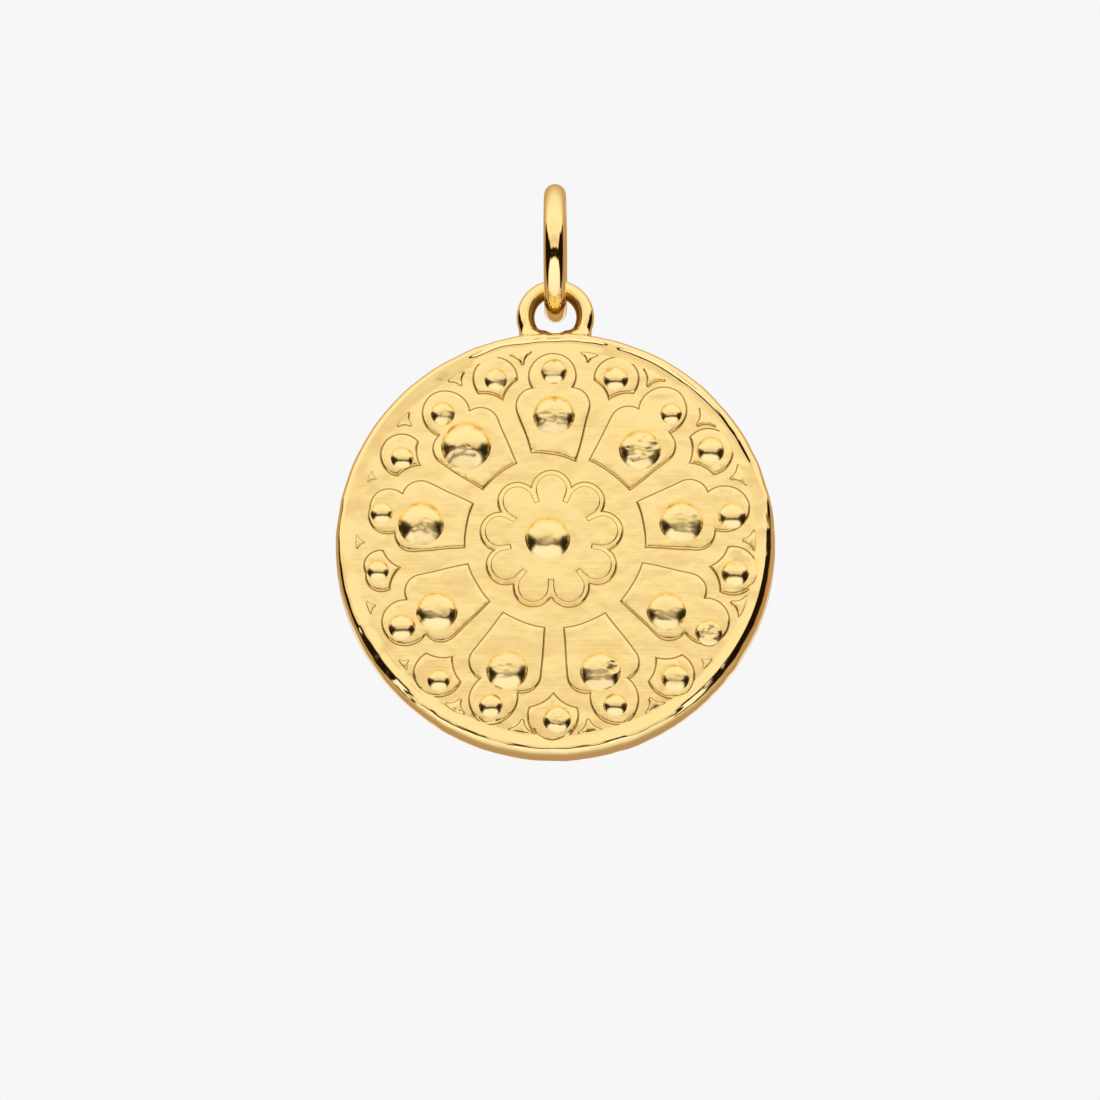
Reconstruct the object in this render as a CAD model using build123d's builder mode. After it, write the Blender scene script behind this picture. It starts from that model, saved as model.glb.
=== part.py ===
from build123d import *
import os
from math import asin, cos, degrees, radians, sin

# Driving dimensions, in millimetres
disc_diameter = 22.0
disc_thickness = 1.8
disc_edge_round = 0.2
rim_width = 0.85
rim_rise = 0.12
rim_slope_width = 0.7

plate_height = 0.1
wall_slope = 45
rosette_step = 0.05
rosette_ledge = 0.27
centre_boss_diameter = 2.24
boss_diameter = 2.1
bead_diameter = 1.26
dome_height_ratio = 0.6

bail_bore = 4.8
bail_wire = 1.1
eyelet_wire = 0.9
eyelet_play = 1.0
eyelet_seat = 0.16
eyelet_foot_round = 0.25
link_clearance = 0.08

# Relief outlines: a reach is a share of relief_radius, and a swing is a share of the pitch angle
panel_inner_reach = 0.438
panel_inner_swing = 0.357
panel_shoulder_reach = 0.689
panel_shoulder_swing = 0.383
panel_cusp_reach = 0.793
panel_cusp_swing = 0.191
panel_lobe_side_reach = 0.853
panel_lobe_side_swing = 0.203
panel_lobe_top_reach = 0.965

shield_point_reach = 0.763
shield_corner_reach = 0.839
shield_corner_swing = 0.180
shield_side_reach = 0.892
shield_side_swing = 0.184
shield_top_reach = 0.999
shield_hollow = 0.007

spandrel_point_reach = 0.928
spandrel_corner_reach = 0.981
spandrel_corner_swing = 0.066
spandrel_top_reach = 0.985
spandrel_hollow = 0.007

rosette_reach = 0.359
petal_centre_reach = 0.256
rosette_core_reach = 0.205
rosette_shift = (-0.019, 0.004)
centre_boss_shift = (-0.036, 0.010)

# One row for each panel, clockwise from the top. A turn is in degrees clockwise from the panel's
# even place round the disc, a reach is a share of relief_radius, and a size is a share of
# boss_diameter or bead_diameter.
PANELS = [
    # panel turn, boss turn, boss reach, boss size, bead turn, bead reach, bead size
    (-0.9, -0.5, 0.642, 0.99, -0.4, 0.867, 1.02),
    (-1.4, 2.1, 0.623, 1.00, 1.4, 0.864, 0.87),
    (-0.9, 1.5, 0.627, 1.05, 1.9, 0.877, 1.11),
    (-0.9, 3.5, 0.655, 0.94, 1.9, 0.887, 1.08),
    (0.1, 1.6, 0.699, 0.97, 0.5, 0.885, 0.94),
    (0.8, -0.2, 0.697, 0.99, 0.7, 0.891, 0.95),
    (0.7, -1.6, 0.681, 0.98, -0.1, 0.868, 1.08),
    (0.8, -2.2, 0.666, 1.09, -0.1, 0.866, 0.90),
    (0.6, -2.0, 0.655, 1.19, -0.3, 0.857, 0.98),
]

# One row for each shield, clockwise from the gap after the top panel
SHIELDS = [
    # shield turn, bead turn, bead reach, bead size
    (0.1, -0.2, 0.881, 1.00),
    (-0.9, -1.0, 0.892, 1.11),
    (0.0, 0.8, 0.900, 1.11),
    (0.3, -0.1, 0.913, 1.11),
    (0.7, -0.6, 0.907, 1.11),
    (0.6, -1.1, 0.906, 0.89),
    (0.2, 0.4, 0.882, 0.87),
    (0.4, -0.5, 0.867, 0.92),
    (0.4, 0.5, 0.877, 0.90),
]

# The origin is the chain's seat, inside the top of the bail. Z points up and the front faces -Y.
bail_ring_radius = (bail_bore + bail_wire) / 2
bail_centre_z = -bail_bore / 2
bail_bottom_z = bail_centre_z - bail_ring_radius

# The eyelet hangs on the lowest part of the bail, and its bore follows the bail's wire
eyelet_bore = bail_wire + eyelet_play
eyelet_ring_radius = (eyelet_bore + eyelet_wire) / 2
eyelet_top_z = bail_bottom_z + (bail_wire + eyelet_wire) / 2 + link_clearance
eyelet_centre_z = eyelet_top_z - eyelet_ring_radius

# The disc's edge stands a little way up inside the eyelet's bore
disc_radius = disc_diameter / 2
disc_centre_z = eyelet_centre_z - eyelet_bore / 2 + eyelet_seat - disc_radius
front_y = -disc_thickness / 2
back_y = disc_thickness / 2
field_y = front_y + rim_rise
plate_y = field_y - plate_height
relief_radius = disc_radius - rim_width
pitch = 360 / len(PANELS)


def front_plane(y):
    return Plane(origin=(0, y, disc_centre_z), x_dir=(1, 0, 0), z_dir=(0, -1, 0))


def spot(reach, turn):
    distance = relief_radius * reach
    return (distance * sin(radians(turn)), distance * cos(radians(turn)))


def pitch_spot(reach, swing):
    return spot(reach, swing * pitch)


def clockwise(turn):
    return Location((0, 0, 0), (0, 0, -turn))


# Panel: straight flanks, round shoulders and a round lobe at the outer end
with BuildSketch() as panel:
    with BuildLine() as panel_line:
        panel_inner = ThreePointArc(
            pitch_spot(panel_inner_reach, 0),
            pitch_spot(panel_inner_reach, panel_inner_swing / 2),
            pitch_spot(panel_inner_reach, panel_inner_swing),
        )
        panel_flank = Line(
            panel_inner @ 1, pitch_spot(panel_shoulder_reach, panel_shoulder_swing)
        )
        panel_shoulder = TangentArc(
            panel_flank @ 1,
            pitch_spot(panel_cusp_reach, panel_cusp_swing),
            tangent=panel_flank % 1,
        )
        ThreePointArc(
            panel_shoulder @ 1,
            pitch_spot(panel_lobe_side_reach, panel_lobe_side_swing),
            pitch_spot(panel_lobe_top_reach, 0),
        )
        mirror(about=Plane.YZ)
    make_face()

# Shield: a point towards the centre between two hollow edges, and a round outer end
with BuildSketch() as shield:
    with BuildLine() as shield_line:
        SagittaArc(
            pitch_spot(shield_point_reach, 0),
            pitch_spot(shield_corner_reach, shield_corner_swing),
            relief_radius * shield_hollow,
        )
        ThreePointArc(
            pitch_spot(shield_corner_reach, shield_corner_swing),
            pitch_spot(shield_side_reach, shield_side_swing),
            pitch_spot(shield_top_reach, 0),
        )
        mirror(about=Plane.YZ)
    make_face()

# Spandrel: a small three-cornered chip beside the rim, with hollow sides and its point inwards
with BuildSketch() as spandrel:
    with BuildLine() as spandrel_line:
        SagittaArc(
            pitch_spot(spandrel_point_reach, 0),
            pitch_spot(spandrel_corner_reach, spandrel_corner_swing),
            relief_radius * spandrel_hollow,
        )
        ThreePointArc(
            pitch_spot(spandrel_corner_reach, spandrel_corner_swing),
            pitch_spot(spandrel_top_reach, 0),
            pitch_spot(spandrel_corner_reach, -spandrel_corner_swing),
        )
        SagittaArc(
            pitch_spot(spandrel_corner_reach, -spandrel_corner_swing),
            pitch_spot(spandrel_point_reach, 0),
            relief_radius * spandrel_hollow,
        )
    make_face()

# Rosette: round petals on a lower step, and the same petals drawn in by a ledge on an upper one
petal_centre = relief_radius * petal_centre_reach
petal_radius = relief_radius * rosette_reach - petal_centre
upper_petal_radius = petal_radius - rosette_ledge
upper_petal_turn = degrees(asin(upper_petal_radius / petal_centre))
upper_petal_side = petal_centre * cos(radians(upper_petal_turn)) / relief_radius

with BuildSketch() as lower_rosette:
    Circle(petal_centre)
    with PolarLocations(petal_centre, len(PANELS), start_angle=90):
        Circle(petal_radius)

with BuildSketch() as upper_petal:
    with Locations((0, petal_centre)):
        Circle(upper_petal_radius)
    Polygon(
        (0, 0),
        spot(upper_petal_side, -upper_petal_turn),
        spot(upper_petal_side, upper_petal_turn),
        align=None,
    )

with BuildSketch() as upper_rosette:
    Circle(relief_radius * rosette_core_reach)
    with PolarLocations(0, len(PANELS)):
        add(upper_petal.sketch)

# Disc: a flat back, a round edge and a front field that rises to the rim
with BuildPart() as disc:
    with BuildSketch(Plane.XY.offset(disc_centre_z)):
        with BuildLine():
            Polyline(
                (0, field_y),
                (0, back_y),
                (disc_radius - disc_edge_round, back_y),
            )
            RadiusArc(
                (disc_radius - disc_edge_round, back_y),
                (disc_radius, back_y - disc_edge_round),
                disc_edge_round,
            )
            Line((disc_radius, back_y - disc_edge_round), (disc_radius, front_y + disc_edge_round))
            RadiusArc(
                (disc_radius, front_y + disc_edge_round),
                (disc_radius - disc_edge_round, front_y),
                disc_edge_round,
            )
            Bezier(
                (disc_radius - disc_edge_round, front_y),
                (disc_radius - disc_edge_round - rim_slope_width / 2, front_y),
                (disc_radius - disc_edge_round - rim_slope_width / 2, field_y),
                (disc_radius - disc_edge_round - rim_slope_width, field_y),
            )
            Line((disc_radius - disc_edge_round - rim_slope_width, field_y), (0, field_y))
        make_face()
    revolve(axis=Axis((0, 0, disc_centre_z), (0, 1, 0)))

# Plates: the panels, shields and spandrels, each with a sloping wall all round
with BuildPart() as plates:
    with BuildSketch(front_plane(field_y)):
        for index, row in enumerate(PANELS):
            with Locations(clockwise(index * pitch + row[0])):
                add(panel.sketch)
        for index, row in enumerate(SHIELDS):
            with Locations(clockwise((index + 0.5) * pitch + row[0])):
                add(shield.sketch)
        for index in range(2 * len(PANELS)):
            with Locations(clockwise((index + 0.5) * pitch / 2)):
                add(spandrel.sketch)
    extrude(amount=plate_height, taper=wall_slope)

with BuildPart() as rosette:
    with BuildSketch(front_plane(field_y)):
        with Locations((relief_radius * rosette_shift[0], relief_radius * rosette_shift[1])):
            add(lower_rosette.sketch)
    extrude(amount=plate_height, taper=wall_slope)
    with BuildSketch(front_plane(plate_y)):
        with Locations((relief_radius * rosette_shift[0], relief_radius * rosette_shift[1])):
            add(upper_rosette.sketch)
    extrude(amount=rosette_step, taper=wall_slope)

# Domes: the bosses and beads, each the cap of a ball that rises by a share of its own radius
centre_boss_spot = (relief_radius * centre_boss_shift[0], relief_radius * centre_boss_shift[1])
dome_rows = [(centre_boss_spot, plate_y - rosette_step, centre_boss_diameter)]
for index, row in enumerate(PANELS):
    boss_turn = index * pitch + row[1]
    bead_turn = index * pitch + row[4]
    dome_rows.append((spot(row[2], boss_turn), plate_y, boss_diameter * row[3]))
    dome_rows.append((spot(row[5], bead_turn), plate_y, bead_diameter * row[6]))
for index, row in enumerate(SHIELDS):
    bead_turn = (index + 0.5) * pitch + row[1]
    dome_rows.append((spot(row[2], bead_turn), plate_y, bead_diameter * row[3]))

with BuildPart() as domes:
    for (x, z), foot_y, diameter in dome_rows:
        rise = dome_height_ratio * diameter / 2
        ball_radius = (diameter**2 / 4 + rise**2) / (2 * rise)
        with Locations((x, foot_y - rise + ball_radius, disc_centre_z + z)):
            Sphere(ball_radius)
    split(bisect_by=front_plane(0), keep=Keep.TOP)

# Bail: a plain ring of round wire that stands square to the disc
with BuildPart(Plane(origin=(0, 0, bail_centre_z), z_dir=(1, 0, 0))) as bail_ring:
    Torus(bail_ring_radius, bail_wire / 2)

with BuildPart(Plane(origin=(0, 0, eyelet_centre_z), z_dir=(0, 1, 0))) as eyelet:
    Torus(eyelet_ring_radius, eyelet_wire / 2)

# Medallion: the disc with its relief and its eyelet, cast as one
with BuildPart() as medallion:
    add(disc.part)
    add(eyelet.part)
    eyelet_feet = medallion.edges(Select.LAST).filter_by(GeomType.BSPLINE)
    fillet(eyelet_feet, radius=eyelet_foot_round)
    add(plates.part)
    add(rosette.part)
    add(domes.part)

medallion.part.label = "medallion"
bail_ring.part.label = "bail_ring"

os.makedirs("parts", exist_ok=True)
export_step(medallion.part, "parts/medallion.step")
export_step(bail_ring.part, "parts/bail_ring.step")
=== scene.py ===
import math

import bmesh
import bpy
from mathutils import Matrix, Vector, noise
from mathutils.geometry import intersect_line_line


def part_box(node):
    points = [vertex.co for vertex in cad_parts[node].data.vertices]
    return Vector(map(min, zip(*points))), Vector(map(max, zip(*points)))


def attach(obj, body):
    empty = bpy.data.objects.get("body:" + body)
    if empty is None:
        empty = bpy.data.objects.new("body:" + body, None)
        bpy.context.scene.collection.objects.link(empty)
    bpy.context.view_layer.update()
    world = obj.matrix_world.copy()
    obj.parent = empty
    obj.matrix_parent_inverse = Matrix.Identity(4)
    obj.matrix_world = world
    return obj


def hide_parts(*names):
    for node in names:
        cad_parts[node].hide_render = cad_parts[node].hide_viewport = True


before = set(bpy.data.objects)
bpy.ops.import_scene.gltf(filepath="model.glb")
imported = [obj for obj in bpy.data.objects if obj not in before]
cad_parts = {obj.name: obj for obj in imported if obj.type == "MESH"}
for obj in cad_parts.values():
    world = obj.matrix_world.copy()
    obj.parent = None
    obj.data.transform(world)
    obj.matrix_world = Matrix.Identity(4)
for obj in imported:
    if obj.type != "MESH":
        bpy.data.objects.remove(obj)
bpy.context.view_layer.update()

# Camera and stage: the pendant is seen a little from below and from its right through a long lens.
# A pale floor lies well below it, since it hangs free, and a pale studio surrounds it.
mm = 0.001
scene = bpy.context.scene
scene.view_settings.view_transform = "Standard"

medallion_low, medallion_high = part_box("medallion")
disc_radius = (medallion_high.x - medallion_low.x) / 2
disc_centre_z = medallion_low.z + disc_radius
disc_back_y = medallion_high.y
disc_front_y = -disc_back_y

view_elevation = math.radians(-15.5)
view_azimuth = math.radians(1.0)
view_distance = 480 * mm
view_width = 54.95 * mm
photo_size = 1100
disc_in_photo = (555.4, 545.4)

toward_camera = Vector((
    math.sin(view_azimuth) * math.cos(view_elevation),
    -math.cos(view_azimuth) * math.cos(view_elevation),
    math.sin(view_elevation),
))
camera_data = bpy.data.cameras.new("camera")
camera = bpy.data.objects.new("camera", camera_data)
scene.collection.objects.link(camera)
scene.camera = camera
camera.rotation_mode = "QUATERNION"
camera.rotation_quaternion = toward_camera.to_track_quat("Z", "Y")
camera_data.sensor_width = 36
camera_data.lens = camera_data.sensor_width * view_distance / view_width
camera_data.clip_start = 10 * mm
camera_data.clip_end = 5000 * mm
pixel = view_width / photo_size
view_right = camera.rotation_quaternion @ Vector((1, 0, 0))
view_up = camera.rotation_quaternion @ Vector((0, 1, 0))
view_aim = Vector((0, 0, disc_centre_z))
view_aim += view_right * pixel * (photo_size / 2 - disc_in_photo[0])
view_aim -= view_up * pixel * (photo_size / 2 - disc_in_photo[1])
camera.location = view_aim + toward_camera * view_distance

floor_drop = 200 * mm
floor_size = 1600 * mm
floor_mesh = bpy.data.meshes.new("studio_floor")
bm = bmesh.new()
bmesh.ops.create_grid(bm, x_segments=1, y_segments=1, size=floor_size / 2)
bmesh.ops.translate(bm, vec=(0, 0, -floor_drop), verts=bm.verts)
bm.to_mesh(floor_mesh)
bm.free()
floor = bpy.data.objects.new("studio_floor", floor_mesh)
scene.collection.objects.link(floor)
floor.visible_glossy = False  # the gold mirrors the studio alone

# Studio: soft light all round, with one dark strip below the lens and a dark panel at each side, which
# draw the black lines that polished gold shows. The lens itself sees plain pale grey. Angles are in
# degrees: a bearing counts from the front, a height from the horizon, a sweep from the front upwards.
world = bpy.data.worlds.new("studio")
scene.world = world
world.use_nodes = True
studio = world.node_tree
studio.nodes.clear()


def add_node(tree, kind, **settings):
    """Adds a node. Its inputs go by name or by number, and each takes a value or a link."""
    node = tree.nodes.new(kind)
    inputs = settings.pop("inputs", {})
    for key, value in settings.items():
        setattr(node, key, value)
    for key, value in inputs.items():
        socket = node.inputs[key]
        if isinstance(value, bpy.types.NodeSocket):
            tree.links.new(value, socket)
        else:
            socket.default_value = value
    return node


def calculate(tree, operation, *values):
    node = add_node(tree, "ShaderNodeMath", operation=operation, inputs=dict(enumerate(values)))
    return node.outputs[0]


def ease(tree, value, start, end):
    """Rises softly from 0 at start to 1 at end, or falls where start is the larger."""
    node = add_node(
        tree, "ShaderNodeMapRange", interpolation_type="SMOOTHSTEP",
        inputs={"Value": value, "From Min": start, "From Max": end},
    )
    return node.outputs["Result"]


def between(tree, value, low, high, soft):
    """Is 1 from low to high and 0 outside, with soft edges."""
    rise = ease(tree, calculate(tree, "SUBTRACT", value, low), -soft, soft)
    fall = ease(tree, calculate(tree, "SUBTRACT", value, high), soft, -soft)
    return calculate(tree, "MULTIPLY", rise, fall)


edge_wander = 7.0
direction = add_node(studio, "ShaderNodeTexCoord").outputs["Generated"]
across, away, up = add_node(studio, "ShaderNodeSeparateXYZ", inputs={0: direction}).outputs
toward = calculate(studio, "MULTIPLY", away, -1)
ragged = add_node(
    studio, "ShaderNodeTexNoise",
    inputs={"Vector": direction, "Scale": 5.0, "Detail": 4.0, "Roughness": 0.6},
).outputs[0]
ragged = calculate(studio, "MULTIPLY", calculate(studio, "SUBTRACT", ragged, 0.5), edge_wander)
height = calculate(studio, "DEGREES", calculate(studio, "ARCSINE", up))
height = calculate(studio, "ADD", height, ragged)
bearing = calculate(studio, "DEGREES", calculate(studio, "ARCTAN2", across, toward))
bearing = calculate(studio, "ADD", bearing, ragged)
sweep = calculate(studio, "DEGREES", calculate(studio, "ARCTAN2", up, toward))

panel_tip_top, panel_tip_bottom = -10.0, -16.0
panel_highest, panel_lowest = 18.0, -44.0
panel_shoulder, shoulder_start, shoulder_end = 8.0, 68.0, 98.0
panel_soft = 3.0
panel_end_soft = 10.0


def side_panel(tree, bearing, height, tip, rise, fall, outer):
    """A dark panel beside the lens: a wedge that opens from its tip as the bearing grows."""
    past = calculate(tree, "MAXIMUM", calculate(tree, "SUBTRACT", bearing, tip), 0.0)
    top = calculate(tree, "MULTIPLY_ADD", past, rise, panel_tip_top)
    top = calculate(tree, "MINIMUM", top, panel_highest)
    shoulder = ease(tree, bearing, shoulder_start, shoulder_end)
    shoulder = calculate(tree, "MULTIPLY", shoulder, panel_shoulder)
    top = calculate(tree, "ADD", top, shoulder)
    bottom = calculate(tree, "MULTIPLY_ADD", past, -fall, panel_tip_bottom)
    bottom = calculate(tree, "MAXIMUM", bottom, panel_lowest)
    wedge = between(tree, height, bottom, top, panel_soft)
    near_end = ease(tree, bearing, tip - panel_soft, tip + panel_soft)
    wedge = calculate(tree, "MULTIPLY", wedge, near_end)
    far_end = ease(tree, bearing, outer + panel_end_soft, outer - panel_end_soft)
    return calculate(tree, "MULTIPLY", wedge, far_end)


strip_bottom, strip_top, strip_soft = -23.0, -6.5, 2.0
strip_full_to, strip_gone_from = 40.0, 50.0
strip_gap, strip_whole = 0.27, 0.4

leftward = calculate(studio, "MULTIPLY", bearing, -1.0)
from_front = calculate(studio, "ABSOLUTE", bearing)
left_panel = side_panel(studio, leftward, height, tip=29.0, rise=0.69, fall=0.25, outer=108.0)
right_panel = side_panel(studio, bearing, height, tip=37.0, rise=1.3, fall=0.48, outer=106.0)
strip = between(studio, height, strip_bottom, strip_top, strip_soft)
strip = calculate(studio, "MULTIPLY", strip, ease(studio, from_front, strip_gone_from, strip_full_to))
patches = add_node(
    studio, "ShaderNodeTexNoise",
    inputs={"Vector": direction, "Scale": 14.0, "Detail": 3.0, "Roughness": 0.6},
).outputs[0]
strip = calculate(studio, "MULTIPLY", strip, ease(studio, patches, strip_gap, strip_whole))
dark = calculate(studio, "MAXIMUM", strip, calculate(studio, "MAXIMUM", left_panel, right_panel))

# the colour of the light by its sweep: from straight behind, below, in front and above to behind again
light_colours = [
    (-180, (0.50, 0.32, 0.18)), (-158, (0.50, 0.35, 0.24)), (-146, (0.55, 0.44, 0.33)),
    (-131, (0.62, 0.52, 0.41)), (-115, (0.85, 0.88, 0.98)), (-70, (1.1, 1.16, 1.38)),
    (-32, (1.22, 1.27, 1.55)), (-10, (1.02, 1.0, 0.98)), (6, (0.86, 0.78, 0.73)),
    (13.5, (0.96, 0.89, 0.85)), (15.5, (1.0, 0.97, 0.96)), (17.5, (1.03, 1.04, 1.06)),
    (32, (1.06, 1.04, 1.06)), (60, (1.12, 1.14, 1.2)), (95, (1.0, 1.0, 0.98)),
    (120, (0.78, 0.66, 0.52)), (140, (0.62, 0.43, 0.27)), (180, (0.54, 0.34, 0.19)),
]
full_turn = 360
level = add_node(
    studio, "ShaderNodeMapRange",
    inputs={"Value": sweep, "From Min": -full_turn / 2, "From Max": full_turn / 2},
).outputs["Result"]
sky = add_node(studio, "ShaderNodeValToRGB", inputs={"Fac": level})
ramp = sky.color_ramp
while len(ramp.elements) < len(light_colours):
    ramp.elements.new(0.5)
for element, (angle, colour) in zip(ramp.elements, light_colours):
    element.position = (angle + full_turn / 2) / full_turn
    element.color = (*colour, 1)

rear_bottom, rear_top, rear_soft = -3.0, 11.0, 3.0
rear_from, rear_full = 140.0, 165.0
rear_colour = (0.98, 0.95, 0.9, 1)
dark_colour = (0.85, 0.5, 0.2, 1)
dark_share = 0.985
backdrop_colour = (0.93, 0.93, 0.93, 1)

rear = between(studio, height, rear_bottom, rear_top, rear_soft)
rear = calculate(studio, "MULTIPLY", rear, ease(studio, from_front, rear_from, rear_full))
backed = add_node(
    studio, "ShaderNodeMix", data_type="RGBA", inputs={0: rear, "A": sky.outputs[0], "B": rear_colour}
).outputs["Result"]
warmed = add_node(
    studio, "ShaderNodeMix", data_type="RGBA", inputs={0: dark, "A": backed, "B": dark_colour}
).outputs["Result"]
lit = calculate(studio, "SUBTRACT", 1.0, calculate(studio, "MULTIPLY", dark, dark_share))
lamp = add_node(studio, "ShaderNodeBackground", inputs={"Color": warmed, "Strength": lit})
plain = add_node(studio, "ShaderNodeBackground", inputs={"Color": backdrop_colour, "Strength": 1.0})
seen = add_node(studio, "ShaderNodeLightPath").outputs["Is Camera Ray"]
mixed = add_node(
    studio, "ShaderNodeMixShader", inputs={0: seen, 1: lamp.outputs[0], 2: plain.outputs[0]}
)
add_node(studio, "ShaderNodeOutputWorld", inputs={"Surface": mixed.outputs[0]})

floor_material = bpy.data.materials.new("pale_floor")
floor_material.use_nodes = True
floor_tree = floor_material.node_tree
floor_paint = floor_tree.nodes["Principled BSDF"]
floor_paint.inputs["Base Color"].default_value = (0.86, 0.86, 0.86, 1)  # pale grey
floor_paint.inputs["Roughness"].default_value = 0.9
floor.data.materials.append(floor_material)

# Medallion: one brass casting, gold plated, a thick round disc with a plain satin back. Its satin front
# carries low plates with soft walls and raised polished domes, inside a rim that was beaten uneven by
# hand. Its eyelet was cast with it.
disc_steps = 480
rim_width = 0.85 * mm
rim_rise = 0.12 * mm
relief_radius = disc_radius - rim_width
field_y = disc_front_y + rim_rise
field_spacing = 0.2 * mm
plate_height = 0.1 * mm
plate_y = field_y - plate_height
wall_width = 0.16 * mm
root_depth = 0.25 * mm
merge_distance = 0.0005 * mm
disc_centre = Vector((0, 0, disc_centre_z))
relief_axis = Vector((0, 1, 0))


def disc_point(across, up, y=0.0):
    return disc_centre + Vector((across, y, up))


def polar(turn, radius, y=0.0):
    return disc_point(radius * math.sin(math.radians(turn)), radius * math.cos(math.radians(turn)), y)


def line_to(bm, start, end):
    made = bmesh.ops.extrude_vert_indiv(bm, verts=[start])
    made["verts"][0].co = end
    return made["verts"][0]


def arc_about(bm, start, centre, axis, angle, steps):
    made = bmesh.ops.spin(bm, geom=[start], cent=centre, axis=axis, angle=angle, steps=steps)
    return next(item for item in made["geom_last"] if isinstance(item, bmesh.types.BMVert))


def arc_through(bm, start, middle, end, spacing=0.09 * mm):
    """Draws an arc in the disc's plane, from the vertex start through middle to end."""
    chords = (middle - start.co, end - middle)
    halfway = (start.co + middle) / 2, (middle + end) / 2
    square = [chord.cross(relief_axis) for chord in chords]
    centre = intersect_line_line(
        halfway[0], halfway[0] + square[0], halfway[1], halfway[1] + square[1]
    )[0]
    angle = 0.0
    for a, b in ((start.co - centre, middle - centre), (middle - centre, end - centre)):
        angle += math.atan2(relief_axis.dot(a.cross(b)), a.dot(b))
    steps = max(4, round(abs(angle) * (end - centre).length / spacing))
    return arc_about(bm, start, centre, relief_axis, angle, steps)


def close_turn(bm, centre, axis, steps):
    bmesh.ops.spin(
        bm, geom=bm.verts[:] + bm.edges[:], cent=centre, axis=axis, angle=math.tau, steps=steps,
        use_merge=True,
    )
    bmesh.ops.remove_doubles(bm, verts=bm.verts, dist=merge_distance)
    bmesh.ops.recalc_face_normals(bm, faces=bm.faces)


def new_piece(name, bm):
    mesh = bpy.data.meshes.new(name)
    bm.to_mesh(mesh)
    bm.free()
    piece = bpy.data.objects.new(name, mesh)
    scene.collection.objects.link(piece)
    return piece


def join_solid(body, addition):
    """Unites addition with body, as one casting does, and removes the addition's own object."""
    union = body.modifiers.new("union", "BOOLEAN")
    union.operation = "UNION"
    union.solver = "MANIFOLD"
    union.material_mode = "TRANSFER"
    union.object = addition
    evaluated = body.evaluated_get(bpy.context.evaluated_depsgraph_get())
    whole = bpy.data.meshes.new_from_object(evaluated)
    body.modifiers.clear()
    old_meshes = body.data, addition.data
    body.data = whole
    bpy.data.objects.remove(addition)
    for mesh in old_meshes:
        bpy.data.meshes.remove(mesh)


gold_colour = (0.985, 0.745, 0.31, 1)
# painted shade: a dark gold that stands in for the shade in the creases at the walls' feet and inside
# the eyelet's bore
painted_shade_colour = (0.42, 0.25, 0.065, 1)
brush_scale = (500, 500, 9000)
swell_scale = 650.0
rim_roughness = 0.1
polish_run = 0.5
patchiness = 0.05
full_crumple = 0.35


def gold(name, roughness, grain, waves, polish_from=None, crumpled=None):
    """Gold plate. Its brushed grain and its waves are fine bumps, and their depths are in mm.

    With polish_from the metal is satin out to that reach, in mm, and polished beyond it. With crumpled
    it takes that roughness where the surface is crumpled.
    """
    material = bpy.data.materials.new(name)
    material.use_nodes = True
    tree = material.node_tree
    place = add_node(tree, "ShaderNodeTexCoord").outputs["Object"]
    shader = tree.nodes["Principled BSDF"]
    shader.inputs["Metallic"].default_value = 1.0
    shader.inputs["Base Color"].default_value = gold_colour
    shader.inputs["Roughness"].default_value = roughness
    stretched = add_node(
        tree, "ShaderNodeMapping", inputs={"Vector": place, "Scale": brush_scale}
    ).outputs[0]
    hairs = add_node(
        tree, "ShaderNodeTexNoise", inputs={"Vector": stretched, "Scale": 1.0, "Detail": 3.0}
    ).outputs[0]
    swell = add_node(
        tree, "ShaderNodeTexNoise", inputs={"Vector": place, "Scale": swell_scale, "Detail": 2.0}
    ).outputs[0]
    grain_depth, wave_depth = grain * mm, waves * mm
    if crumpled:
        dull = add_node(tree, "ShaderNodeAttribute", attribute_name="crumple").outputs["Fac"]
        dull = ease(tree, dull, 0.0, full_crumple)
        rough = add_node(tree, "ShaderNodeMix", inputs={0: dull, 2: roughness, 3: crumpled}).outputs[0]
        tree.links.new(rough, shader.inputs["Roughness"])
    if polish_from:
        centred = add_node(
            tree, "ShaderNodeMapping",
            inputs={
                "Vector": place, "Location": (0, 0, -disc_centre_z / mm), "Scale": (1 / mm, 0, 1 / mm),
            },
        )
        reach = add_node(
            tree, "ShaderNodeVectorMath", operation="LENGTH", inputs={0: centred.outputs[0]}
        ).outputs["Value"]
        satin = ease(tree, reach, polish_from + polish_run, polish_from)
        patchy = add_node(
            tree, "ShaderNodeMapRange",
            inputs={"Value": swell, "To Min": roughness - patchiness, "To Max": roughness + patchiness},
        ).outputs[0]
        rough = add_node(
            tree, "ShaderNodeMix", inputs={0: satin, 2: rim_roughness, 3: patchy}
        ).outputs[0]
        tree.links.new(rough, shader.inputs["Roughness"])
        grain_depth = calculate(tree, "MULTIPLY", satin, grain_depth)
        wave_depth = calculate(tree, "MULTIPLY", satin, wave_depth)
    relief = add_node(
        tree, "ShaderNodeBump", inputs={"Strength": 1.0, "Distance": grain_depth, "Height": hairs}
    ).outputs[0]
    relief = add_node(
        tree, "ShaderNodeBump",
        inputs={"Strength": 1.0, "Distance": wave_depth, "Height": swell, "Normal": relief},
    ).outputs[0]
    tree.links.new(relief, shader.inputs["Normal"])
    return material


satin_gold = gold("satin_gold", roughness=0.2, grain=0.006, waves=0.09, polish_from=9.9)
polished_gold = gold("polished_gold", roughness=0.21, grain=0.0, waves=0.004, crumpled=0.36)
mirror_gold = gold("mirror_gold", roughness=0.06, grain=0.0, waves=0.002)
# painted shade: darker gold for the creases at the walls' feet and for the eyelet's bore
painted_shade_gold = gold("painted_shade_gold", roughness=0.3, grain=0.0, waves=0.003)
painted_shade_gold.node_tree.nodes["Principled BSDF"].inputs["Base Color"].default_value = painted_shade_colour

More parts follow.
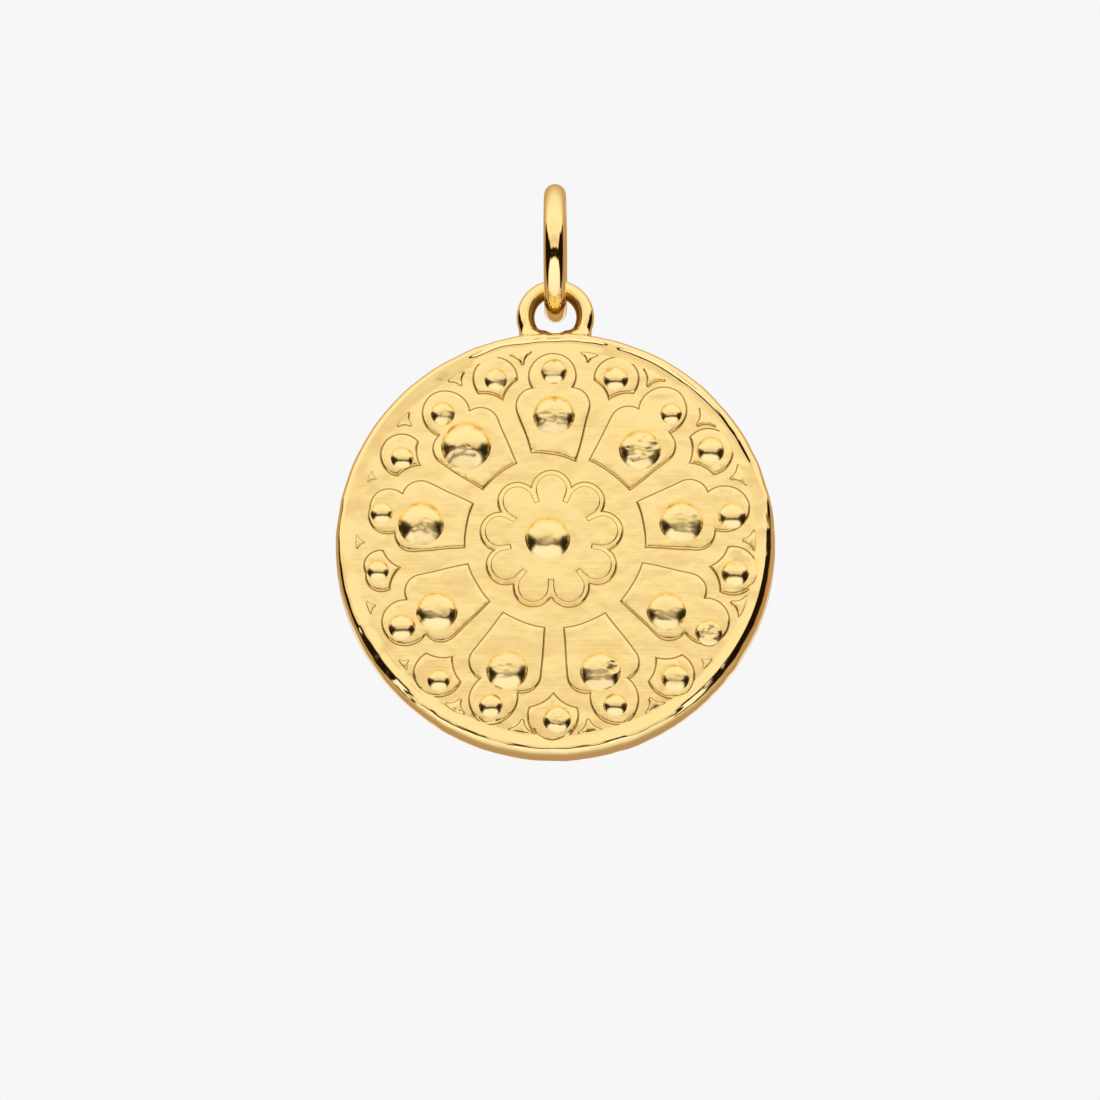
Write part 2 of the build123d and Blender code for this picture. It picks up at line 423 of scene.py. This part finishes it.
field_radius = 9.9 * mm
crest_reach = 10.6
front_spacing = 0.04 * mm
ring_radii = [0.8 * mm, 1.6 * mm, 2.4 * mm, 3.0 * mm]
bm = bmesh.new()
v = bm.verts.new(disc_point(0, 0, field_y))
while ring_radii[-1] + 0.5 * field_spacing < field_radius:
    ring_radii.append(ring_radii[-1] + field_spacing)
for radius in ring_radii:
    v = line_to(bm, v, disc_point(radius, 0, field_y))
rim_profile = [
    # reach and depth of the turned profile, from the field over the rim to the back, in mm
    (10.0, -0.786), (10.1, -0.7965), (10.2, -0.811), (10.3, -0.8275), (10.4, -0.845),
    (10.48, -0.859), (10.54, -0.868), (10.57, -0.872), (10.59, -0.874), (10.60, -0.8735),
    (10.61, -0.8722), (10.62, -0.8702), (10.64, -0.8659), (10.66, -0.8615), (10.68, -0.8570),
    (10.695, -0.8534), (10.71, -0.8485), (10.725, -0.8427), (10.74, -0.836), (10.76, -0.8255),
    (10.78, -0.812), (10.80, -0.7945), (10.82, -0.773), (10.84, -0.747), (10.86, -0.716),
    (10.88, -0.681), (10.90, -0.641), (10.92, -0.595), (10.935, -0.55), (10.95, -0.49),
    (10.962, -0.42), (10.972, -0.34), (10.981, -0.245), (10.989, -0.14), (10.996, -0.02),
    (11.0, 0.12), (10.998, 0.3), (10.992, 0.48), (10.982, 0.62), (10.965, 0.71),
    (10.94, 0.77), (10.90, 0.83), (10.85, 0.87), (10.78, 0.893), (10.7, 0.9),
    (10.4, 0.9), (9.5, 0.9), (8, 0.9), (6, 0.9), (4, 0.9),
    (2, 0.9), (0, 0.9),
]
for radius, y in rim_profile:
    begin, end = v.co.copy(), disc_point(radius * mm, 0, y * mm)
    pieces = math.ceil((end - begin).length / front_spacing) if radius < crest_reach and y < 0 else 1
    for piece in range(pieces):
        v = line_to(bm, v, begin.lerp(end, (piece + 1) / pieces))
close_turn(bm, disc_centre, relief_axis, steps=disc_steps)
medallion = new_piece("medallion_casting", bm)
medallion.data.materials.append(satin_gold)

# a wall from its foot up, as shares of its width and of the plate's height
crisp_wall = [(0.33, 0.07), (0.25, 0.75), (0.26, 0.18)]
soft_wall = [(0.30, 0.08), (0.38, 0.84), (0.32, 0.08)]


def raise_plate(bm, base_y, height, wall_width, turn=0.0, shift=(0.0, 0.0), wall_shape=crisp_wall):
    """Fills the outline and gives it a root in the metal below and a wall, whose foot is painted darker
    as the shade of its crease.
    """
    bmesh.ops.remove_doubles(bm, verts=bm.verts, dist=merge_distance)
    face = bmesh.ops.contextual_create(bm, geom=bm.edges[:])["faces"][0]
    face.normal_update()
    if face.normal.y > 0:
        bmesh.ops.reverse_faces(bm, faces=[face])
    bmesh.ops.translate(bm, vec=(0, base_y + root_depth, 0), verts=bm.verts)
    raised = bmesh.ops.extrude_face_region(bm, geom=[face], use_keep_orig=True)["geom"]
    top = next(item for item in raised if isinstance(item, bmesh.types.BMFace))
    bmesh.ops.translate(bm, vec=(0, -root_depth, 0), verts=top.verts)
    bmesh.ops.recalc_face_normals(bm, faces=bm.faces)
    for step, (run, rise) in enumerate(wall_shape):
        wall = bmesh.ops.inset_region(
            bm, faces=[top], thickness=run * wall_width, depth=rise * height, use_even_offset=True
        )["faces"]
        # the foot of the wall takes the second material, a painted shade in the crease
        if step == 0:
            for face in wall:
                face.material_index = 1
        # merges the points that the wall pinches at inner corners
        bmesh.ops.remove_doubles(bm, verts=top.verts, dist=0.4 * wall_width)
        top = min(bm.faces, key=lambda face: face.calc_center_median().y)
    bmesh.ops.rotate(
        bm, cent=disc_centre, matrix=Matrix.Rotation(math.radians(turn), 3, "Y"), verts=bm.verts
    )
    bmesh.ops.translate(bm, vec=(shift[0], 0, shift[1]), verts=bm.verts)


def cut_tops(bm, spacing=0.35 * mm):
    """Cuts the flat tops into small squares, so that they can take the waves of the hand finish."""
    tops = [face for face in bm.faces if face.normal.y < -0.99 and len(face.verts) > 8]
    count = int(disc_radius / spacing) + 1
    for normal in (Vector((1, 0, 0)), Vector((0, 0, 1))):
        for step in range(-count, count + 1):
            linked = dict.fromkeys(edge for face in tops for edge in face.edges)
            verts = dict.fromkeys(vert for face in tops for vert in face.verts)
            cut = bmesh.ops.bisect_plane(
                bm, geom=[*tops, *linked, *verts],
                plane_co=disc_centre + normal * (step + 0.5) * spacing, plane_no=normal,
            )
            tops = [item for item in cut["geom"] if isinstance(item, bmesh.types.BMFace)]


def gather(parts, bm):
    """Adds one plate's mesh to the mesh that holds all of them."""
    mesh = bpy.data.meshes.new("plate")
    bm.to_mesh(mesh)
    bm.free()
    parts.from_mesh(mesh)
    bpy.data.meshes.remove(mesh)


def soft_step(value, start, end):
    """Rises softly from 0 at start to 1 at end, or falls where start is the larger."""
    share = min(max((value - start) / (end - start), 0.0), 1.0)
    return share * share * (3 - 2 * share)


PANELS = [
    # turn of the plate; turn, reach and size of its boss, then of its bead; half width and slope of the
    # inner edge; reach of the outer lobe. Turns are in degrees from the plate's own place. Reach and
    # size of boss and bead are shares of relief_radius and of their usual radius. The rest is in mm.
    (-0.9, -0.5, 0.642, 0.99, -0.4, 0.867, 1.02, 1.14, -0.23, 9.80),
    (-1.4, 2.1, 0.623, 1.00, 1.4, 0.864, 0.87, 1.30, 0.0, 9.95),
    (-0.9, 1.5, 0.627, 1.05, 1.9, 0.877, 1.11, 1.22, 0.0, 9.90),
    (-0.9, 3.5, 0.655, 0.94, 1.9, 0.887, 1.08, 1.16, 0.0, 9.80),
    (0.1, 1.6, 0.699, 0.97, 0.5, 0.885, 0.94, 1.12, 0.0, 10.08),
    (0.8, -0.2, 0.697, 0.99, 0.7, 0.891, 0.95, 1.15, 0.0, 10.08),
    (0.7, -1.6, 0.681, 0.98, -0.1, 0.868, 1.08, 1.14, 0.0, 9.75),
    (0.8, -2.2, 0.666, 1.09, -0.1, 0.866, 0.90, 1.17, 0.0, 9.45),
    (0.6, -2.0, 0.655, 1.19, -0.3, 0.857, 0.98, 1.12, 0.0, 9.88),
]
SHIELDS = [
    # turn of the plate; turn, reach and size of its bead; half width at its horns; reach of its end
    (0.1, -0.2, 0.881, 1.00, 1.07, 10.14), (-0.9, -1.0, 0.892, 1.11, 1.17, 10.20),
    (0.0, 0.8, 0.900, 1.11, 1.20, 10.30), (0.3, -0.1, 0.913, 1.11, 1.12, 10.30),
    (0.7, -0.6, 0.907, 1.11, 1.20, 10.38), (0.6, -1.1, 0.906, 0.89, 1.16, 10.20),
    (0.2, 0.4, 0.882, 0.87, 1.05, 9.62), (0.4, -0.5, 0.867, 0.92, 1.05, 10.0),
    (0.4, 0.5, 0.877, 0.90, 1.07, 10.14),
]
SPANDREL_SIZES = [
    # clockwise from the top, as shares of the outline that all of them share
    1.0, 1.5, 1.5, 1.35, 1.25, 1.4, 0.8, 1.25, 1.4, 1.4, 1.25, 0.75, 0.8, 0.8, 0.7, 1.1, 1.1, 1.3,
]
pitch = 360 / len(PANELS)


def half_outline(start, runs, spacing=0.12 * mm):
    """Draws half an outline of straight runs (end) and arcs (middle, end), in mm, and mirrors it."""
    bm = bmesh.new()
    v = bm.verts.new(disc_point(start[0] * mm, start[1] * mm))
    for run in runs:
        end = disc_point(run[-1][0] * mm, run[-1][1] * mm)
        if len(run) == 1:
            begin = v.co.copy()
            pieces = math.ceil((end - begin).length / spacing)
            for piece in range(pieces):
                v = line_to(bm, v, begin.lerp(end, (piece + 1) / pieces))
        else:
            v = arc_through(bm, v, disc_point(run[0][0] * mm, run[0][1] * mm), end)
    bmesh.ops.translate(bm, vec=-disc_centre, verts=bm.verts)
    bmesh.ops.mirror(bm, geom=bm.verts[:] + bm.edges[:], merge_dist=merge_distance, axis="X")
    bmesh.ops.translate(bm, vec=disc_centre, verts=bm.verts)
    return bm


slant_full, slant_gone = 4.3 * mm, 6.8 * mm
shield_wall = 1.15
spandrel_wall = 0.09
spandrel_middle = 9.76 * mm
small_spandrel_height = 0.4
plates = bmesh.new()
for index, row in enumerate(PANELS):
    half, slant, outer = row[7:]
    bm = half_outline((0, 4.446), [
        ((0.5 * half, 4.415), (half, 4.308)), ((1.848, 6.745),), ((1.742, 7.54), (1.070, 7.977)),
        ((1.054, 9.191 + 0.55 * (outer - 9.795)), (0, outer)),
    ])
    for vert in bm.verts:
        up = vert.co.z - disc_centre_z
        vert.co.z += slant * vert.co.x * (1 - soft_step(up, slant_full, slant_gone))
    raise_plate(bm, field_y, plate_height, wall_width, index * pitch + row[0])
    gather(plates, bm)
for index, row in enumerate(SHIELDS):
    half, outer = row[4:]
    bm = half_outline((0, 7.744), [
        ((0.47 * half, 8.28), (half, 8.50)), ((0.93 * half, 9.55 + 0.5 * (outer - 10.14)), (0, outer)),
    ])
    raise_plate(bm, field_y, plate_height, shield_wall * wall_width, (index + 0.5) * pitch + row[0])
    gather(plates, bm)
for index, size in enumerate(SPANDREL_SIZES):
    bm = half_outline((0, 9.40), [
        ((0.06, 9.44), (0.10, 9.55)), ((0.22, 9.72), (0.40, 9.83)), ((0.45, 9.90), (0.40, 9.96)),
        ((0.2, 9.99), (0, 10.0)),
    ])
    about_middle = Matrix.Translation(-disc_point(0, spandrel_middle))
    bmesh.ops.scale(bm, vec=(size, 1, size), space=about_middle, verts=bm.verts)
    height = plate_height if size >= 1 else small_spandrel_height * plate_height
    raise_plate(bm, field_y, height, spandrel_wall * size * mm, (index + 0.5) * pitch / 2)
    gather(plates, bm)
rosette_shift = (-0.019 * relief_radius, 0.004 * relief_radius)
rosette_reach = 3.643 * mm
rosette_notch = 2.991 * mm
bm = bmesh.new()
v = bm.verts.new(polar(-pitch / 2, rosette_notch))
for index in range(len(PANELS)):
    notch = polar((index + 0.5) * pitch, rosette_notch)
    v = arc_through(bm, v, polar(index * pitch, rosette_reach), notch)
raise_plate(bm, field_y, plate_height, wall_width, 0, rosette_shift, soft_wall)
gather(plates, bm)
cut_tops(plates)
plates = new_piece("plates", plates)
plates.data.materials.append(satin_gold)
# the second slot is the painted shade of the walls' creases
plates.data.materials.append(painted_shade_gold)
join_solid(medallion, plates)

petal_edge = 17.35
core_radius = 2.08 * mm
petal_side = 2.480 * mm
petal_reach = 3.373 * mm
rosette_step = 0.05 * mm
rosette_step_wall = 0.08 * mm
bm = bmesh.new()
v = bm.verts.new(polar(-petal_edge, core_radius))
for index in range(len(PANELS)):
    turn = index * pitch
    next_edge = turn + pitch - petal_edge
    v = line_to(bm, v, polar(turn - petal_edge, petal_side))
    v = arc_through(bm, v, polar(turn, petal_reach), polar(turn + petal_edge, petal_side))
    v = line_to(bm, v, polar(turn + petal_edge, core_radius))
    v = arc_through(bm, v, polar(turn + pitch / 2, core_radius), polar(next_edge, core_radius))
raise_plate(bm, plate_y, rosette_step, rosette_step_wall, 0, rosette_shift, soft_wall)
cut_tops(bm)
rosette = new_piece("rosette", bm)
rosette.data.materials.append(satin_gold)
# the second slot is the painted shade of the walls' creases
rosette.data.materials.append(painted_shade_gold)
join_solid(medallion, rosette)

dome_rise = 0.49
boss_radius = 1.05 * mm
bead_radius = 0.63 * mm
centre_boss_radius = 1.12 * mm
boss_steps = (72, 18)
bead_steps = (48, 12)


def add_dome(parts, centre, radius, foot_y, steps):
    """Adds a cap of a ball with a root below its foot. Its steps run around it and up to its top."""
    around, up = steps
    rise = dome_rise * radius
    ball = (radius ** 2 + rise ** 2) / (2 * rise)
    bm = bmesh.new()
    v = bm.verts.new(centre + Vector((0, foot_y - rise, 0)))
    ball_centre = centre + Vector((0, foot_y - rise + ball, 0))
    v = arc_about(bm, v, ball_centre, Vector((0, 0, 1)), math.asin(radius / ball), up)
    v = line_to(bm, v, v.co + Vector((0, root_depth, 0)))
    v = line_to(bm, v, centre + Vector((0, foot_y + root_depth, 0)))
    close_turn(bm, centre, relief_axis, around)
    gather(parts, bm)


bosses = bmesh.new()
beads = bmesh.new()
middle = disc_point(-0.036 * relief_radius, 0.010 * relief_radius)
add_dome(bosses, middle, centre_boss_radius, plate_y - rosette_step, boss_steps)
for index, row in enumerate(PANELS):
    boss_turn, boss_reach, boss_size, bead_turn, bead_reach, bead_size = row[1:7]
    turn = index * pitch
    middle = polar(turn + boss_turn, boss_reach * relief_radius)
    add_dome(bosses, middle, boss_radius * boss_size, plate_y, boss_steps)
    middle = polar(turn + bead_turn, bead_reach * relief_radius)
    add_dome(beads, middle, bead_radius * bead_size, plate_y, bead_steps)
for index, (_, bead_turn, bead_reach, bead_size, _, _) in enumerate(SHIELDS):
    middle = polar((index + 0.5) * pitch + bead_turn, bead_reach * relief_radius)
    add_dome(beads, middle, bead_radius * bead_size, plate_y, bead_steps)
bosses = new_piece("bosses", bosses)
bosses.data.materials.append(polished_gold)
join_solid(medallion, bosses)
beads = new_piece("beads", beads)
beads.data.materials.append(polished_gold)
join_solid(medallion, beads)

# Hand finishing bent the front and the rim a little: hammer blows, wear and crumpled domes. Its lengths
# are in mm, and its places count from the disc's centre, with turns clockwise from the top.
RIM_BLOWS = [
    # turn in degrees, reach, half length, half width, depth, and slope down towards the edge
    (-5.0, 10.08, 3.4, 0.46, 0.05, 0.2), (29.0, 10.1, 2.1, 0.44, 0.045, 0.12),
    (44.0, 10.05, 2.0, 0.46, 0.045, 0.12), (58.0, 10.1, 2.0, 0.42, 0.045, 0.12),
    (233.0, 10.45, 0.9, 0.42, 0.07, 0.0), (76.0, 10.3, 0.9, 0.4, 0.05, 0.0),
    (222.0, 10.5, 0.7, 0.3, 0.05, 0.0), (132.0, 10.3, 0.9, 0.4, 0.05, 0.0),
]
WORN_EDGES = [
    # turn and half length in degrees, depth
    (113.0, 34.0, 0.28), (233.0, 13.0, 0.14),
]
noise.seed_set(3)  # without it, the noise vectors differ from run to run
for index in range(19):  # smaller blows, all along the lower part of the rim
    chance = noise.noise_vector(Vector((index * 3.7, 0.3, 0.7)))
    blow_turn = 72.0 + index * 9.4
    RIM_BLOWS.append((
        blow_turn + 5 * chance.x, 10.25 + 0.35 * chance.y, 1.0 + 0.5 * chance.z, 0.5 + 0.15 * chance.x,
        0.03 + 0.02 * chance.y, 0.0,
    ))
CRUMPLES = [
    # across, up, radius, depth, folds per mm
    (-0.13, 6.15, 0.85, 0.06, 2.8), (-4.75, 4.0, 0.95, 0.07, 3.2), (-6.5, 0.3, 0.8, 0.05, 3.6),
    (6.5, 0.85, 0.9, 0.04, 3.0), (2.79, -6.6, 0.4, 0.16, 2.5), (7.68, -4.85, 0.6, 0.1, 3.5),
    (5.97, -7.25, 0.5, 0.03, 3.0), (-2.4, -6.4, 0.9, 0.05, 3.0), (-5.9, -3.5, 0.8, 0.03, 3.0),
    (-0.4, 0.0, 0.8, 0.02, 3.0), (5.6, -3.6, 0.9, 0.03, 3.0), (4.4, 4.6, 0.9, 0.09, 3.0),
    (2.2, -7.0, 0.8, 0.05, 3.0), (-2.7, 8.4, 0.5, 0.04, 2.8), (-0.15, 8.8, 0.55, 0.04, 2.4),
    (-5.4, 6.4, 0.5, 0.03, 4.0), (9.1, -1.2, 0.5, 0.04, 4.0), (0.2, -9.1, 0.5, 0.05, 4.0),
]


def turn_from(middle, turn):
    """Turn seen from middle, between -180 and 180 degrees."""
    return (turn - middle + 180) % 360 - 180


def rim_blow(turn, reach):
    """Depth of the deepest blow at this place: a shallow trough with steep sides."""
    deepest = 0.0
    for blow_turn, blow_reach, length, width, depth, tilt in RIM_BLOWS:
        along = math.radians(turn_from(blow_turn, turn)) * reach / length
        if abs(along) < 1:
            across = (reach - blow_reach) / width
            floor_depth = depth + tilt * across * width
            deepest = max(deepest, floor_depth - depth * (along ** 4 + across ** 6) * (1 + 2 * tilt))
    return deepest


def soft_wave(x, z, per_mm, layer):
    """Height of soft random waves, between -1 and 1, which differ from layer to layer."""
    return noise.noise(Vector((per_mm * x, per_mm * z, layer)))


front_run = (0.3, -0.5)
field_run = (9.8, 10.4)
edge_run = (8.6, 10.0)
side_run = (10.5, 10.9)
crown, crown_reach = 0.08, 9.9
broad_waves, small_waves, edge_waves = 0.03, 0.014, 0.05
blow_wander = 0.07
outline_drift = 0.035
edge_reach, worn_width = 11.0, 0.5
side_wear, side_waves, side_ripples = 0.02, 0.03, 0.012
dull_depth = 0.06


def hand_finish(place):
    """Moves a point of the casting to where the hand finishing left it."""
    x, y, z = (place - disc_centre) / mm
    reach = math.hypot(x, z)
    turn = math.degrees(math.atan2(x, z))
    front = soft_step(y, *front_run)
    inner = 1 - soft_step(reach, *field_run)
    bend = noise.noise_vector(Vector((0.8 * x, 0.8 * z, 3.1)))
    push = broad_waves * soft_wave(x, z, 0.5, layer=1.7)
    push += small_waves * soft_wave(x, z, 1.3, layer=5.3)
    push += edge_waves * soft_step(reach, *edge_run) * soft_wave(x, z, 0.7, layer=8.8)
    push -= crown * (1 - min(reach / crown_reach, 1.0) ** 2)
    push += rim_blow(turn, reach + blow_wander * soft_wave(x, z, 0.9, layer=6.0))
    for middle, half_length, depth in WORN_EDGES:
        along = turn_from(middle, turn) / half_length
        across = (reach - edge_reach) / worn_width
        push += depth * max(0.0, 1 - along ** 4) * max(0.0, 1 - across * across)
    for across, up, radius, depth, folds in CRUMPLES:
        away = math.hypot(x - across, z - up) / radius
        if away < 1:
            # folds run across more than up, with finer ones on top
            fold = noise.noise(Vector((0.7 * folds * x, 1.3 * folds * z, 31.0 + across)))
            fold += 0.4 * noise.noise(Vector((1.5 * folds * x, 2.8 * folds * z, 47.0 + up)))
            push += depth * ((1 - away) + (1 - away ** 4) * fold)
    wear = side_waves * soft_wave(x, z, 0.9, layer=11.0) + side_ripples * soft_wave(x, z, 2.6, layer=2.0)
    shrink = 1 - soft_step(reach, *side_run) * max(0.0, side_wear + wear) / max(reach, 1.0)
    x = x * shrink + front * inner * outline_drift * bend.x
    z = z * shrink + front * inner * outline_drift * bend.y
    return disc_centre + Vector((x, y + front * push, z)) * mm


crumple = medallion.data.attributes.new("crumple", "FLOAT", "POINT")
for vertex in medallion.data.vertices:
    x, _, z = (vertex.co - disc_centre) / mm
    for across, up, radius, depth, _ in CRUMPLES:
        dull = (1 - math.hypot(x - across, z - up) / radius) * min(depth / dull_depth, 1.0)
        crumple.data[vertex.index].value = max(crumple.data[vertex.index].value, dull)
    vertex.co = hand_finish(vertex.co)

# The eyelet is a round ring that stands on the top edge. Its feet flare into the disc.
eyelet_centre = Vector((0, 0, -5.77 * mm))
eyelet_radius = 1.5 * mm
eyelet_wire = 0.9 * mm
foot_flare = 0.2 * mm
foot_height = 0.45 * mm
bore_share = 0.2  # the inner part of the ring, which lies in the shade of the bore
bm = bmesh.new()
bmesh.ops.create_circle(bm, segments=36, radius=eyelet_wire / 2)
bmesh.ops.translate(bm, vec=eyelet_centre + Vector((eyelet_radius, 0, 0)), verts=bm.verts)
close_turn(bm, eyelet_centre, relief_axis, steps=120)
eyelet = new_piece("eyelet", bm)
for vertex in eyelet.data.vertices:
    around = vertex.co - eyelet_centre
    around.y = 0
    wire_centre = eyelet_centre + around.normalized() * eyelet_radius
    above = math.hypot(vertex.co.x, vertex.co.z - disc_centre_z) - disc_radius
    flare = foot_flare * min(max(1 - above / foot_height, 0.0), 1.0) ** 2
    vertex.co += (vertex.co - wire_centre).normalized() * flare
eyelet.data.materials.append(mirror_gold)
eyelet.data.materials.append(painted_shade_gold)
# painted shade: the inner part of the ring takes the darker gold, as the shade inside the bore
for polygon in eyelet.data.polygons:
    away = polygon.center - eyelet_centre
    if math.hypot(away.x, away.z) < eyelet_radius - bore_share * eyelet_wire:
        polygon.material_index = 1
join_solid(medallion, eyelet)

sharp_angle = math.radians(31)
for polygon in medallion.data.polygons:
    polygon.use_smooth = True
medallion.data.set_sharp_from_angle(angle=sharp_angle)
weighted = medallion.modifiers.new("weighted_normal", "WEIGHTED_NORMAL")
weighted.keep_sharp = True
medallion.name = "medallion_casting"
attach(medallion, "medallion")
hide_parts("medallion")

# Bail ring: a plain closed ring of round brass wire, gold plated and mirror polished, its joint soldered
# shut and polished out of sight. It stands square to the disc, through the eyelet.
bail_wire = 1.1 * mm
bail_centre = Vector((0, 0, -2.4 * mm))
bail_radius = 2.95 * mm
bm = bmesh.new()
bmesh.ops.create_circle(bm, segments=48, radius=bail_wire / 2)
bmesh.ops.rotate(bm, matrix=Matrix.Rotation(math.pi / 2, 3, "X"), verts=bm.verts)
bmesh.ops.translate(bm, vec=bail_centre + Vector((0, 0, bail_radius)), verts=bm.verts)
close_turn(bm, bail_centre, Vector((1, 0, 0)), steps=160)
bail = new_piece("bail_ring_wire", bm)
for polygon in bail.data.polygons:
    polygon.use_smooth = True
bail.data.materials.append(mirror_gold)
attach(bail, "bail")
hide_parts("bail_ring")
